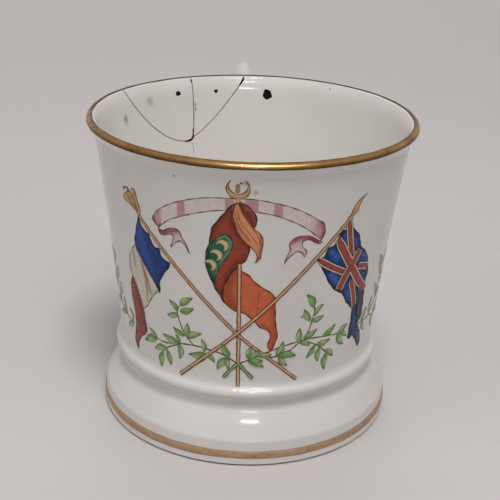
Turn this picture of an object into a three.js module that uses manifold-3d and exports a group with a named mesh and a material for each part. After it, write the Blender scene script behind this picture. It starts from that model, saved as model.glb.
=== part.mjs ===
// Footed porcelain mug with a loop handle, a gilt lip, a gilt foot band and two cemented rim shards.
// Millimetres, +Z up, standing on z = 0, with the handle towards +Y.

import * as THREE from 'three';
import { mergeVertices } from 'three/addons/utils/BufferGeometryUtils.js';
import Module from 'manifold-3d';

// Overall form
const overallHeight = 87.5; // table to the gilt crest of the lip
const rimRadius = 46; // axis to the outer edge of the gilt lip
const footRadius = 42.7; // axis to the outer face of the gilt foot band, at the plinth's full width

// Foot and base mouldings
const plinthHeight = 7.7; // table to where the shoulder leaves the plinth's rounded top
const plinthBatter = 0.42; // how much the plinth's face leans in from its foot to its top
const footRelief = 1; // foot ring's outer edge, cut back from the plinth's face
const footLift = 0.45; // height of the foot ring's rounded edges
const shoulderRound = 2.2; // rounding of the plinth's top
const shoulderHeight = 8.2; // plinth's top to the neck
const shoulderLean = 30; // degrees that the shoulder's foot leans in
const neckRadius = 37; // narrowest outside radius, in the hollow moulding
const scotiaRadius = 3.2; // radius of the hollow moulding at the neck
const scotiaStart = 218; // degrees round the hollow moulding where the shoulder runs into it
const beadProjection = 1.8; // bead past the neck
const beadRound = 1.8; // radius of the bead's section
const beadStep = 1.5; // wall behind the bead

// Wall and lip
const wallThickness = 1.9; // at the lip
const neckWall = 3.3; // thickness at the neck
const lipOverhang = 1.95; // lip past the wall's top
const lipDepth = 4.3; // lip's crest above the wall's top
const lipNose = 1.15; // radius of the rolled lip

// Floor and hollow underside
const recessDepth = 5;
const footRingWidth = 5.5;
const recessCorner = 4;
const floorThickness = 5.5;
const floorCorner = 8;

// Handle
const handleReach = 73; // axis to the handle's outermost back
const handleWidth = 9.2;
const handleThickness = 6.8;
const handleTaper = 0.82; // share of the width left at the lower end
const handleFlare = 1; // growth of the section, all round, where the ends meet the wall
const upperJointDrop = 14.5; // upper joint below the lip's crest
const lowerJointHeight = 36;
const handleRise = 24.8; // how high the top of the loop is drawn above the upper joint
const handleBellyDrop = 6; // outermost point of the loop below the upper joint

// Slip luting, gilding and cracks
const jointGap = 0.3; // handle to wall, luting to both
const lutingWidth = 1.4;
const lutingHeight = 1.5;
const gildingThickness = 0.2;
const gildingClearance = 0.05;
const footBandBottom = 2.15;
const footBandHeight = 2.3;
const crackWidth = 0.3;
const breakTurn = 23.5; // degrees from the handle to the middle crack
const breakDepth = 18.3; // crest of the lip to where the cracks meet
const breakSag = 3; // how far the left crack is drawn below that meeting
const breakLeft = 26; // sideways reach of the left shard at the lip
const breakRight = 18; // sideways reach of the right shard at the lip
const breakLean = 0.5; // how far the middle crack leans to the left going down

// Facets
const turnSteps = 48;
const sectionSteps = 16;
const handleSteps = 30;

const wasm = await Module();
wasm.setup();

const porcelainColour = 0xe6e3de;
const gildingColour = 0x8f6f3a;

// Booleans

function solidOf(geometry) {
  const bare = new THREE.BufferGeometry();
  bare.setAttribute('position', geometry.getAttribute('position').clone());
  bare.setIndex(geometry.index);
  const merged = mergeVertices(bare, 1e-4);
  const triVerts = [];
  for (let i = 0; i < merged.index.count; i += 3) {
    const corners = [0, 1, 2].map((k) => merged.index.getX(i + k));
    if (new Set(corners).size === 3) triVerts.push(...corners);
  }
  return new wasm.Manifold(new wasm.Mesh({
    numProp: 3,
    vertProperties: new Float32Array(merged.getAttribute('position').array),
    triVerts: new Uint32Array(triVerts),
  }));
}

function geometryOf(solid) {
  const mesh = solid.getMesh();
  const geometry = new THREE.BufferGeometry();
  geometry.setAttribute('position', new THREE.BufferAttribute(new Float32Array(mesh.vertProperties), 3));
  geometry.setIndex(new THREE.BufferAttribute(new Uint32Array(mesh.triVerts), 1));
  geometry.computeVertexNormals();
  return geometry;
}

// The separate bodies of a cut solid, from the largest to the smallest
function bodiesOf(solid) {
  return solid.decompose().sort((a, b) => b.volume() - a.volume());
}

// Turned forms

function turned(profile) {
  const geometry = new THREE.LatheGeometry(profile, turnSteps);
  geometry.rotateX(Math.PI / 2);
  return solidOf(geometry);
}

function arcPoints(centre, radius, startDegrees, endDegrees, steps) {
  const points = [];
  for (let i = 0; i <= steps; i += 1) {
    const angle = THREE.MathUtils.degToRad(THREE.MathUtils.lerp(startDegrees, endDegrees, i / steps));
    points.push(new THREE.Vector2(centre.x + radius * Math.cos(angle), centre.y + radius * Math.sin(angle)));
  }
  return points;
}

function bendPoints(start, control, end, steps) {
  return new THREE.QuadraticBezierCurve(start, control, end).getPoints(steps);
}

function curvePoints(start, startControl, endControl, end, steps) {
  return new THREE.CubicBezierCurve(start, startControl, endControl, end).getPoints(steps);
}

function withoutRepeats(points) {
  return points.filter((point, i) => i === 0 || point.distanceTo(points[i - 1]) > 1e-3);
}

const point = (radius, height) => new THREE.Vector2(radius, height);
const onCircle = (centre, radius, degrees) => arcPoints(centre, radius, degrees, degrees, 1)[0];
const skin = gildingClearance + gildingThickness;

// Lip: a rolled nose with a short flare below it on the outside
const noseStartDegrees = -45;
const giltStartDegrees = -15;
const giltEndDegrees = 105;
const noseEndDegrees = 160;
const nose = point(rimRadius - skin - lipNose, overallHeight - skin - lipNose);
const giltNose = arcPoints(nose, lipNose, giltStartDegrees, giltEndDegrees, 8);
const nosePoints = withoutRepeats([
  ...arcPoints(nose, lipNose, noseStartDegrees, giltStartDegrees, 2),
  ...giltNose,
  ...arcPoints(nose, lipNose, giltEndDegrees, noseEndDegrees, 2),
]);
const wallTop = point(rimRadius - lipOverhang, overallHeight - lipDepth);
const innerTop = point(wallTop.x - wallThickness, wallTop.y - lipNose);

// Foot: plinth, shoulder, hollow neck and bead, each running smoothly into the next
const plinthRadius = footRadius - skin;
const edgeRise = shoulderRound * Math.sin(THREE.MathUtils.degToRad(shoulderLean));
const plinthTop = point(plinthRadius - plinthBatter - shoulderRound, plinthHeight - edgeRise);
const plinthFace = (height) => point(
  THREE.MathUtils.mapLinear(height, footLift, plinthTop.y, plinthRadius, plinthRadius - plinthBatter),
  height,
);
const bandPoints = [plinthFace(footBandBottom), plinthFace(footBandBottom + footBandHeight)];
const shoulderBase = onCircle(plinthTop, shoulderRound, shoulderLean);
const neckHeight = plinthHeight + shoulderHeight;
const scotia = point(neckRadius + scotiaRadius, neckHeight);
const shoulderTop = onCircle(scotia, scotiaRadius, scotiaStart);
const shoulderCurve = curvePoints(
  shoulderBase,
  onCircle(shoulderBase, shoulderHeight * 0.3, shoulderLean + 90),
  onCircle(shoulderTop, shoulderHeight * 0.3, scotiaStart + 90),
  shoulderTop,
  8,
);
const beadSpread = scotiaRadius + beadRound - beadProjection;
const beadHeight = neckHeight + Math.sqrt((scotiaRadius + beadRound) ** 2 - beadSpread ** 2);
const bead = point(neckRadius + beadProjection - beadRound, beadHeight);
const beadTilt = THREE.MathUtils.radToDeg(Math.atan2(beadHeight - neckHeight, beadSpread));
const wallFoot = point(neckRadius + beadProjection - beadStep, beadHeight + beadRound * 2);

const outerWall = bendPoints(
  wallFoot,
  point(THREE.MathUtils.lerp(wallFoot.x, wallTop.x, 0.42), THREE.MathUtils.lerp(wallFoot.y, wallTop.y, 0.57)),
  wallTop,
  7,
);
const beadTop = onCircle(bead, beadRound, 60);
const outside = withoutRepeats([
  ...bendPoints(point(plinthRadius - footRelief, 0), point(plinthRadius - footLift, 0), plinthFace(footLift), 3),
  ...bandPoints,
  ...arcPoints(plinthTop, shoulderRound, 0, shoulderLean, 3),
  ...shoulderCurve,
  ...arcPoints(scotia, scotiaRadius, scotiaStart, 180 - beadTilt, 6),
  ...arcPoints(bead, beadRound, -beadTilt, 60, 4),
  ...bendPoints(beadTop, point(wallFoot.x, beadTop.y + beadRound * 0.3), wallFoot, 3),
  ...outerWall,
  ...bendPoints(wallTop, point(wallTop.x + lipOverhang * 0.05, wallTop.y + lipDepth * 0.13), nosePoints[0], 2),
  ...nosePoints,
]);

// Inside of the cup, from the lip down to the middle of the floor
const floorHeight = recessDepth + floorThickness;
const innerNeck = point(neckRadius - neckWall, neckHeight);
const inside = withoutRepeats([
  ...bendPoints(nosePoints.at(-1), point(innerTop.x + lipNose * 0.8, nose.y - lipNose * 0.9), innerTop, 3),
  ...bendPoints(
    innerTop,
    point(THREE.MathUtils.lerp(innerNeck.x, innerTop.x, 0.42), THREE.MathUtils.lerp(innerNeck.y, innerTop.y, 0.54)),
    innerNeck,
    6,
  ),
  ...bendPoints(innerNeck, point(innerNeck.x, floorHeight), point(innerNeck.x - floorCorner, floorHeight), 4),
  point(0, floorHeight),
]);

// Underside, from the middle of the recess out to the foot ring
const recessRadius = plinthRadius - footRingWidth;
const underside = [
  point(0, recessDepth),
  ...bendPoints(
    point(recessRadius - recessCorner, recessDepth),
    point(recessRadius, recessDepth),
    point(recessRadius, footLift),
    4,
  ),
  point(recessRadius + footLift, 0),
];

const wholeCup = turned(withoutRepeats([...underside, ...outside, ...inside]));

// The space that the cup fills from outside, grown by a clearance, for trimming what is stuck on the wall
function cupSpace(clearance) {
  const grown = outside.map((p) => point(p.x + clearance, p.y));
  const crest = overallHeight + clearance;
  return turned([point(0, 0), ...grown.filter((p) => p.y <= nose.y), point(rimRadius + clearance, crest), point(0, crest)]);
}

function wallRadiusAt(height) {
  const above = outerWall.findIndex((p) => p.y >= height);
  const upper = outerWall[Math.max(above, 1)];
  const lower = outerWall[Math.max(above, 1) - 1];
  return THREE.MathUtils.mapLinear(height, lower.y, upper.y, lower.x, upper.x);
}

// A thin gilt layer that follows a stretch of the profile, with square ends
function gilded(points, normals) {
  const layer = (offset) => points.map((p, i) => p.clone().addScaledVector(normals[i], offset));
  const outer = layer(skin);
  const loop = [...outer, ...layer(gildingClearance).reverse(), outer[0].clone()];
  return turned(loop);
}

const noseNormals = giltNose.map((p) => p.clone().sub(nose).normalize());
const wholeRimGilding = gilded(giltNose, noseNormals);
const footGilding = gilded(bandPoints, bandPoints.map(() => point(1, 0)));

// Break in the rim: a left arm, a right arm and a middle crack that meet at its lowest point.
// The crack lines are drawn on the plane square to the middle crack's radius: sideways, then height.
const breakBottom = overallHeight - breakDepth;
const breakTop = overallHeight + lipNose;
const breakMiddle = overallHeight - breakDepth / 2;
const meeting = point(-breakLean, breakBottom);
const leftCrack = curvePoints(
  meeting,
  point(-breakLeft * 0.15, breakBottom - breakSag),
  point(-breakLeft * 0.55, breakBottom + breakDepth * 0.04),
  point(-breakLeft, breakTop),
  12,
);
const crackLines = [
  leftCrack,
  bendPoints(meeting, point(breakRight * 0.41, breakBottom + breakDepth * 0.21), point(breakRight, breakTop), 6),
  bendPoints(meeting, point(breakLean, breakMiddle), point(0, breakTop), 4),
];

function crackCutter(line) {
  const halves = [1, -1].map((side) => line.map((p, i) => {
    const along = line[Math.min(i + 1, line.length - 1)].clone().sub(line[Math.max(i - 1, 0)]).normalize();
    const start = i === 0 ? -crackWidth : 0;
    return p.clone().addScaledVector(along, start).add(point(-along.y, along.x).multiplyScalar(side * crackWidth / 2));
  }));
  const shape = new THREE.Shape([...halves[1], ...halves[0].reverse()]);
  const geometry = new THREE.ExtrudeGeometry(shape, { depth: rimRadius, bevelEnabled: false, steps: 1 });
  geometry.translate(0, 0, -rimRadius * 1.2);
  geometry.rotateX(Math.PI / 2);
  geometry.rotateZ(THREE.MathUtils.degToRad(breakTurn));
  return solidOf(geometry);
}

const cracks = crackLines.map(crackCutter).reduce((all, cutter) => all.add(cutter));
const sideOf = (solid) => solid.boundingBox().min[0];
const leftFirst = (a, b) => sideOf(a) - sideOf(b);
const [cupBody, ...shards] = bodiesOf(wholeCup.subtract(cracks));
const [leftShard, rightShard] = shards.sort(leftFirst);
const [rimGilding, ...shardGildings] = bodiesOf(wholeRimGilding.subtract(cracks));
const [leftGilding, rightGilding] = shardGildings.sort(leftFirst);

// Handle: an ear-shaped loop in the plane x = 0, with a ridged back and flared ends
const upperHeight = overallHeight - upperJointDrop;
const upperJoint = new THREE.Vector3(0, wallRadiusAt(upperHeight), upperHeight);
const lowerJoint = new THREE.Vector3(0, wallRadiusAt(lowerJointHeight), lowerJointHeight);
const backRadius = handleReach - handleThickness / 2;
const belly = new THREE.Vector3(0, backRadius, upperHeight - handleBellyDrop);
const overhang = backRadius - upperJoint.y;
const underhang = backRadius - lowerJoint.y;

const loop = new THREE.CurvePath();
const rising = new THREE.CubicBezierCurve3(
  upperJoint,
  new THREE.Vector3(0, upperJoint.y + overhang * 0.38, upperHeight + handleRise * 0.25),
  new THREE.Vector3(0, backRadius, upperHeight + handleRise),
  belly,
);
const falling = new THREE.CubicBezierCurve3(
  belly,
  new THREE.Vector3(0, backRadius, THREE.MathUtils.lerp(belly.z, lowerJointHeight, 0.5)),
  new THREE.Vector3(0, lowerJoint.y + underhang * 0.55, lowerJointHeight + handleThickness * 0.6),
  lowerJoint,
);
const rootLength = handleThickness * 0.6;
const into = (joint, curve, t, way) => joint.clone().addScaledVector(curve.getTangent(t), way * rootLength);
loop.add(new THREE.LineCurve3(into(upperJoint, rising, 0, -1), upperJoint));
loop.add(rising);
loop.add(falling);
loop.add(new THREE.LineCurve3(lowerJoint, into(lowerJoint, falling, 1, 1)));

// Section of the handle: an oval whose back is drawn up to a soft ridge
function sectionPoint(step) {
  const angle = (step / sectionSteps) * 2 * Math.PI;
  const sine = Math.sin(angle);
  const ridge = sine > 0 ? 2.4 : 0.9;
  return point(Math.cos(angle), Math.sign(sine) * Math.abs(sine) ** ridge);
}

function loftedLoop(growth) {
  const positions = [];
  const index = [];
  const centres = loop.getSpacedPoints(handleSteps);
  centres.forEach((centre, ring) => {
    const share = ring / handleSteps;
    const along = loop.getTangentAt(share);
    const back = new THREE.Vector3(0, -along.z, along.y);
    const ends = Math.exp(-share / 0.07) + Math.exp(-(1 - share) / 0.07);
    const slimming = THREE.MathUtils.lerp(1, handleTaper, share);
    const swelling = handleFlare * ends + growth;
    for (let step = 0; step < sectionSteps; step += 1) {
      const p = sectionPoint(step);
      const side = p.x * (handleWidth / 2 * slimming + swelling);
      const rise = p.y * (handleThickness / 2 * slimming + swelling);
      positions.push(side, centre.y + back.y * rise, centre.z + back.z * rise);
    }
  });
  const ringStart = (ring) => ring * sectionSteps;
  for (let ring = 0; ring < handleSteps; ring += 1) {
    for (let step = 0; step < sectionSteps; step += 1) {
      const next = (step + 1) % sectionSteps;
      const [a, b] = [ringStart(ring) + step, ringStart(ring) + next];
      const [c, d] = [ringStart(ring + 1) + step, ringStart(ring + 1) + next];
      index.push(a, d, b, a, c, d);
    }
  }
  for (let step = 1; step < sectionSteps - 1; step += 1) {
    const last = ringStart(handleSteps);
    index.push(0, step, step + 1);
    index.push(last, last + step + 1, last + step);
  }
  const geometry = new THREE.BufferGeometry();
  geometry.setAttribute('position', new THREE.Float32BufferAttribute(positions, 3));
  geometry.setIndex(index);
  return solidOf(geometry);
}

const againstWall = cupSpace(jointGap);
const [handle] = bodiesOf(loftedLoop(0).subtract(againstWall));
const lutings = cupSpace(jointGap + lutingHeight)
  .intersect(loftedLoop(jointGap + lutingWidth))
  .subtract(againstWall)
  .subtract(loftedLoop(jointGap));
const [lowerLuting, upperLuting] = bodiesOf(lutings)
  .slice(0, 2)
  .sort((a, b) => a.boundingBox().min[2] - b.boundingBox().min[2]);

// Scene graph, with the origin under the middle of the part's bounding box
const mug = new THREE.Group();
const axisShift = (handle.boundingBox().max[1] - rimRadius) / 2;

function addPiece(name, solid, colour, roughness, metalness) {
  const material = new THREE.MeshStandardMaterial({ color: colour, roughness, metalness });
  const mesh = new THREE.Mesh(geometryOf(solid), material);
  mesh.name = name;
  mesh.position.y = -axisShift;
  mug.add(mesh);
}

const addPorcelain = (name, solid) => addPiece(name, solid, porcelainColour, 0.15, 0);
const addGilding = (name, solid) => addPiece(name, solid, gildingColour, 0.4, 0.9);

addPorcelain('cup_body', cupBody);
addPorcelain('rim_shard_left', leftShard);
addPorcelain('rim_shard_right', rightShard);
addPorcelain('handle', handle);
addPorcelain('luting_upper', upperLuting);
addPorcelain('luting_lower', lowerLuting);
addGilding('rim_gilding', rimGilding);
addGilding('rim_gilding_left', leftGilding);
addGilding('rim_gilding_right', rightGilding);
addGilding('foot_gilding', footGilding);

export default mug;
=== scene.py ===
"""Footed porcelain mug: turned cup, cemented rim shards, loop handle, worn gilding and painted enamel."""

import math

import bmesh
import bpy
import numpy as np
from mathutils import Matrix, Vector
from mathutils.geometry import delaunay_2d_cdt


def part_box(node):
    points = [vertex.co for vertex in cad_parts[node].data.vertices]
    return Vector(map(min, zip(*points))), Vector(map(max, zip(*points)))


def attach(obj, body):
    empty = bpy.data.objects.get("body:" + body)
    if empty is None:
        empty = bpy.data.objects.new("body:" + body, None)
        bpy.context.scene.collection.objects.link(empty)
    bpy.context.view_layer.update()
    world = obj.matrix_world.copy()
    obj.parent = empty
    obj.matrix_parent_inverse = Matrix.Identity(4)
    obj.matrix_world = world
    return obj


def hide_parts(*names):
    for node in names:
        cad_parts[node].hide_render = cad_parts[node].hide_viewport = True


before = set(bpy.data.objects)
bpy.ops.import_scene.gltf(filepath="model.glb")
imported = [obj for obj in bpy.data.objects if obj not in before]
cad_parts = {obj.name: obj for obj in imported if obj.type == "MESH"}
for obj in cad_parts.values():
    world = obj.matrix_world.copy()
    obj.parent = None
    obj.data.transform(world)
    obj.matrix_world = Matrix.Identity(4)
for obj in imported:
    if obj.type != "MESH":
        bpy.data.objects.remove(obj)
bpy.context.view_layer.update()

MM = 0.001
band_low, band_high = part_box("foot_gilding")
AXIS = np.array(((band_low.x + band_high.x) / 2, (band_low.y + band_high.y) / 2, 0.0))

# Sizes in millimetres about the cup's axis, the same as the solids' own
OVERALL_HEIGHT = 87.5
RIM_RADIUS = 46.0
FOOT_RADIUS = 42.7
PLINTH_HEIGHT = 7.7
PLINTH_BATTER = 0.42
FOOT_RELIEF = 1.0
FOOT_LIFT = 0.45
SHOULDER_ROUND = 2.2
SHOULDER_HEIGHT = 8.2
SHOULDER_LEAN = 30
NECK_RADIUS = 37.0
SCOTIA_RADIUS = 3.2
SCOTIA_START = 218
BEAD_PROJECTION = 1.8
BEAD_ROUND = 1.8
BEAD_STEP = 1.5
WALL_THICKNESS = 1.9
NECK_WALL = 3.3
LIP_OVERHANG = 1.95
LIP_DEPTH = 4.3
LIP_NOSE = 1.15
RECESS_DEPTH = 5.0
FOOT_RING_WIDTH = 5.5
RECESS_CORNER = 4.0
FLOOR_THICKNESS = 5.5
FLOOR_CORNER = 8.0
HANDLE_REACH = 73.0
HANDLE_WIDTH = 9.2
HANDLE_THICKNESS = 6.8
HANDLE_TAPER = 0.82
HANDLE_FLARE = 1.0
UPPER_JOINT_DROP = 14.5
LOWER_JOINT_HEIGHT = 36.0
HANDLE_RISE = 24.8
HANDLE_BELLY_DROP = 6.0
LUTING_WIDTH = 1.7
LUTING_HEIGHT = 1.8
GILDING_SKIN = 0.25
FOOT_BAND_BOTTOM = 2.15
FOOT_BAND_HEIGHT = 2.3
CRACK_WIDTH = 0.3
BREAK_TURN = 23.5
BREAK_DEPTH = 18.3
BREAK_SAG = 3.0
BREAK_LEFT = 26.0
BREAK_RIGHT = 18.0
BREAK_LEAN = 0.5

# Where the bead's arc ends, in degrees, and shares that shape the other curves of the profile
BEAD_END = 60
SHOULDER_PULL = 0.3
WALL_SWAY = (0.42, 0.57)
INNER_SWAY = (0.42, 0.54)
LIP_RUN = 2.6

# Radii of the rings that divide the flat floor and the recess, and steps round the cup,
# round the handle and along it
FLOOR_RING = 12
RECESS_RING = 16
TURN_STEPS = 240
SECTION_STEPS = 48
HANDLE_STEPS = 110


# Curves

def point(x, y):
    return np.array((x, y), float)


def lerp(a, b, share):
    return a + (b - a) * share


def unit(step):
    return step / np.linalg.norm(step)


def arc(centre, radius, start, end, steps):
    angles = np.radians(np.linspace(start, end, steps + 1))
    return centre + radius * np.column_stack((np.cos(angles), np.sin(angles)))


def on_circle(centre, radius, degrees):
    return arc(centre, radius, degrees, degrees, 1)[0]


def bend(start, control, end, steps):
    t = np.linspace(0, 1, steps + 1)[:, None]
    return (1 - t) ** 2 * start + 2 * t * (1 - t) * control + t ** 2 * end


def cubic(start, first, second, end, steps):
    t = np.linspace(0, 1, steps + 1)[:, None]
    return ((1 - t) ** 3 * start + 3 * t * (1 - t) ** 2 * first
            + 3 * t ** 2 * (1 - t) * second + t ** 3 * end)


def without_repeats(points, gap=1e-3):
    steps = np.linalg.norm(np.diff(points, axis=0), axis=1)
    return points[np.r_[True, steps > gap]]


def lengths_along(line):
    return np.r_[0, np.cumsum(np.linalg.norm(np.diff(line, axis=0), axis=1))]


def headings(line):
    """The unit step along a line at each of its points."""
    along = np.gradient(line, axis=0)
    return along / np.linalg.norm(along, axis=1)[:, None]


def sideways(line):
    """The unit step to the left of a line at each of its points."""
    along = headings(line)
    return np.column_stack((-along[:, 1], along[:, 0]))


# Profile of the cup

plinth_radius = FOOT_RADIUS - GILDING_SKIN
edge_rise = SHOULDER_ROUND * math.sin(math.radians(SHOULDER_LEAN))
plinth_top = point(plinth_radius - PLINTH_BATTER - SHOULDER_ROUND, PLINTH_HEIGHT - edge_rise)
shoulder_base = on_circle(plinth_top, SHOULDER_ROUND, SHOULDER_LEAN)
neck_height = PLINTH_HEIGHT + SHOULDER_HEIGHT
scotia = point(NECK_RADIUS + SCOTIA_RADIUS, neck_height)
shoulder_top = on_circle(scotia, SCOTIA_RADIUS, SCOTIA_START)
pull = SHOULDER_HEIGHT * SHOULDER_PULL
shoulder_controls = (on_circle(shoulder_base, pull, SHOULDER_LEAN + 90),
                     on_circle(shoulder_top, pull, SCOTIA_START + 90))
bead_spread = SCOTIA_RADIUS + BEAD_ROUND - BEAD_PROJECTION
bead_height = neck_height + math.sqrt((SCOTIA_RADIUS + BEAD_ROUND) ** 2 - bead_spread ** 2)
bead = point(NECK_RADIUS + BEAD_PROJECTION - BEAD_ROUND, bead_height)
bead_tilt = math.degrees(math.atan2(bead_height - neck_height, bead_spread))
bead_top = on_circle(bead, BEAD_ROUND, BEAD_END)
wall_foot = point(NECK_RADIUS + BEAD_PROJECTION - BEAD_STEP, bead_height + BEAD_ROUND * 2)
wall_top = point(RIM_RADIUS - LIP_OVERHANG, OVERALL_HEIGHT - LIP_DEPTH)
wall_control = lerp(wall_foot, wall_top, np.array(WALL_SWAY))

NOSE_START, GILT_START, GILT_END, NOSE_END = -45, -15, 105, 160
nose = point(RIM_RADIUS - GILDING_SKIN - LIP_NOSE, OVERALL_HEIGHT - GILDING_SKIN - LIP_NOSE)
nose_points = arc(nose, LIP_NOSE, NOSE_START, NOSE_END, 24)
lip_control = wall_top + point(LIP_OVERHANG * 0.05, LIP_DEPTH * 0.13)

outside = without_repeats(np.vstack((
    bend(point(plinth_radius - FOOT_RELIEF, 0), point(plinth_radius - FOOT_LIFT, 0),
         point(plinth_radius, FOOT_LIFT), 6),
    arc(plinth_top, SHOULDER_ROUND, 0, SHOULDER_LEAN, 8),
    cubic(shoulder_base, *shoulder_controls, shoulder_top, 20),
    arc(scotia, SCOTIA_RADIUS, SCOTIA_START, 180 - bead_tilt, 14),
    arc(bead, BEAD_ROUND, -bead_tilt, BEAD_END, 12),
    bend(bead_top, point(wall_foot[0], bead_top[1] + BEAD_ROUND * 0.3), wall_foot, 6),
    bend(wall_foot, wall_control, wall_top, 36),
    bend(wall_top, lip_control, nose_points[0], 6),
    nose_points,
)))

floor_height = RECESS_DEPTH + FLOOR_THICKNESS
inner_top = point(wall_top[0] - WALL_THICKNESS, wall_top[1] - LIP_NOSE)
inner_neck = point(NECK_RADIUS - NECK_WALL, neck_height)
inner_control = lerp(inner_neck, inner_top, np.array(INNER_SWAY))
inner_lip = inner_top + unit(inner_top - inner_control) * LIP_NOSE * LIP_RUN
inside = without_repeats(np.vstack((
    bend(nose_points[-1], inner_lip, inner_top, 8),
    bend(inner_top, inner_control, inner_neck, 30),
    bend(inner_neck, point(inner_neck[0], floor_height),
         point(inner_neck[0] - FLOOR_CORNER, floor_height), 12),
    [point(FLOOR_RING, floor_height)],
    [point(0, floor_height)],
)))

recess_radius = plinth_radius - FOOT_RING_WIDTH
underside = np.vstack((
    [point(0, RECESS_DEPTH)],
    [point(RECESS_RING, RECESS_DEPTH)],
    bend(point(recess_radius - RECESS_CORNER, RECESS_DEPTH), point(recess_radius, RECESS_DEPTH),
         point(recess_radius, FOOT_LIFT), 10),
    [point(recess_radius + FOOT_LIFT, 0)],
))


def outer_radius(height):
    return np.interp(height, outside[:, 1], outside[:, 0])


def inner_radius(height):
    return np.interp(height, inside[::-1, 1], inside[::-1, 0])


# Meshes

def add_object(name, vertices, faces, material, sharp=40):
    """Makes one object from points in metres, with its faces turned outwards."""
    mesh = bpy.data.meshes.new(name)
    mesh.from_pydata([tuple(v) for v in vertices], [], faces)
    shell = bmesh.new()
    shell.from_mesh(mesh)
    bmesh.ops.recalc_face_normals(shell, faces=shell.faces)
    shell.to_mesh(mesh)
    shell.free()
    made = bpy.data.objects.new(name, mesh)
    bpy.context.scene.collection.objects.link(made)
    mesh.materials.append(material)
    smooth(made, sharp)
    return made


def smooth(obj, sharp):
    obj.data.shade_smooth()
    obj.data.set_sharp_from_angle(angle=math.radians(sharp))


def ring_faces(rings, steps, joined=False):
    """Faces between rings of as many points each, joined end to end or closed by two end faces."""
    faces = []
    for ring in range(rings if joined else rings - 1):
        low, high = ring * steps, (ring + 1) % rings * steps
        for k in range(steps):
            n = (k + 1) % steps
            faces.append([low + k, low + n, high + n, high + k])
    if not joined:
        faces += [list(range(steps)), list(range((rings - 1) * steps, rings * steps))]
    return faces


def turned(name, profile, material, closed=False, wander=None):
    """Turns a profile about the cup's axis. Its points on the axis become poles.
    wander moves the whole profile point by point with the turn."""
    turns = np.linspace(0, 2 * np.pi, TURN_STEPS, endpoint=False)
    vertices, rings = [], []
    for place, (radius, height) in enumerate(profile):
        start = len(vertices)
        pole = radius < 1e-6
        for turn in turns[:1] if pole else turns:
            r, z = wander(place, turn) if wander else (radius, height)
            vertices.append(AXIS + np.array((r * np.sin(turn), -r * np.cos(turn), z)) * MM)
        rings.append(range(start, len(vertices)))
    faces = []
    for low, high in zip(rings, rings[1:] + rings[:1] if closed else rings[1:]):
        for k in range(TURN_STEPS):
            n = (k + 1) % TURN_STEPS
            corners = [low[k % len(low)], low[n % len(low)], high[n % len(high)], high[k % len(high)]]
            faces.append(list(dict.fromkeys(corners)))
    return add_object(name, vertices, faces, material)


def combined(obj, tool, operation):
    """Applies a boolean to obj and leaves no modifier on it."""
    change = obj.modifiers.new("boolean", "BOOLEAN")
    change.object = tool
    change.operation = operation
    change.solver = "EXACT"
    seen = obj.evaluated_get(bpy.context.evaluated_depsgraph_get())
    mesh = bpy.data.meshes.new_from_object(seen)
    obj.modifiers.clear()
    obj.data = mesh


def copied(obj, name):
    twin = obj.copy()
    twin.data = obj.data.copy()
    twin.name = name
    bpy.context.scene.collection.objects.link(twin)
    return twin


def loose_parts(obj, names):
    """Splits obj into its shells: the largest takes the first name, the rest follow from left to right."""
    shell = bmesh.new()
    shell.from_mesh(obj.data)
    unseen = set(shell.verts)
    islands = []
    while unseen:
        front = [unseen.pop()]
        island = []
        while front:
            vertex = front.pop()
            island.append(vertex.index)
            near = {edge.other_vert(vertex) for edge in vertex.link_edges} & unseen
            unseen -= near
            front += near
        islands.append(sorted(island))
    shell.free()
    islands.sort(key=len, reverse=True)
    places = np.array([v.co for v in obj.data.vertices])
    rest = sorted(islands[1:len(names)], key=lambda island: places[island][:, 0].mean())
    made = []
    for name, island in zip(names, islands[:1] + rest):
        order = {old: new for new, old in enumerate(island)}
        faces = [[order[v] for v in f.vertices] for f in obj.data.polygons if f.vertices[0] in order]
        made.append(add_object(name, places[island], faces, obj.data.materials[0]))
    bpy.data.objects.remove(obj)
    return made


# Materials

SURROUNDINGS = (1.0, 0.953, 0.92)
SURROUNDINGS_STRENGTH = 0.5
LIGHT_FROM_SURROUNDINGS = 0.04
FLOOR_FADE = (0.3, 1.1)


def linear(code):
    """A colour written as #rrggbb, as linear light."""
    share = np.array([int(code[i:i + 2], 16) for i in (1, 3, 5)]) / 255
    return np.where(share <= 0.04045, share / 12.92, ((share + 0.055) / 1.055) ** 2.4)


class Nodes:
    """A node tree with helpers that add to it. A value is a socket to link or a constant to set."""

    def __init__(self, tree):
        self.tree = tree

    def feed(self, socket, value):
        if isinstance(value, bpy.types.NodeSocket):
            self.tree.links.new(value, socket)
        elif socket.type == "RGBA":
            socket.default_value = (*value, 1.0)
        else:
            socket.default_value = value

    def add(self, kind, inputs, output=0, **settings):
        """Adds a node and returns one of its outputs."""
        node = self.tree.nodes.new("ShaderNode" + kind)
        for name, value in settings.items():
            setattr(node, name, value)
        for key, value in inputs.items():
            self.feed(node.inputs[key], value)
        return node.outputs[output]

    def math(self, operation, first, second):
        return self.add("Math", {0: first, 1: second}, operation=operation)

    def between(self, value, low, high, to_low=0.0, to_high=1.0):
        ends = {"From Min": low, "From Max": high, "To Min": to_low, "To Max": to_high}
        return self.add("MapRange", {"Value": value, **ends})

    def rays_that_show_surroundings(self):
        """1 for what the camera, a mirror or clear glass sees, and 0 for light on a surface."""
        rays = self.tree.nodes.new("ShaderNodeLightPath").outputs
        seen = rays["Is Camera Ray"]
        for kind in ("Is Glossy Ray", "Is Transmission Ray"):
            seen = self.math("MAXIMUM", seen, rays[kind])
        return seen


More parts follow.
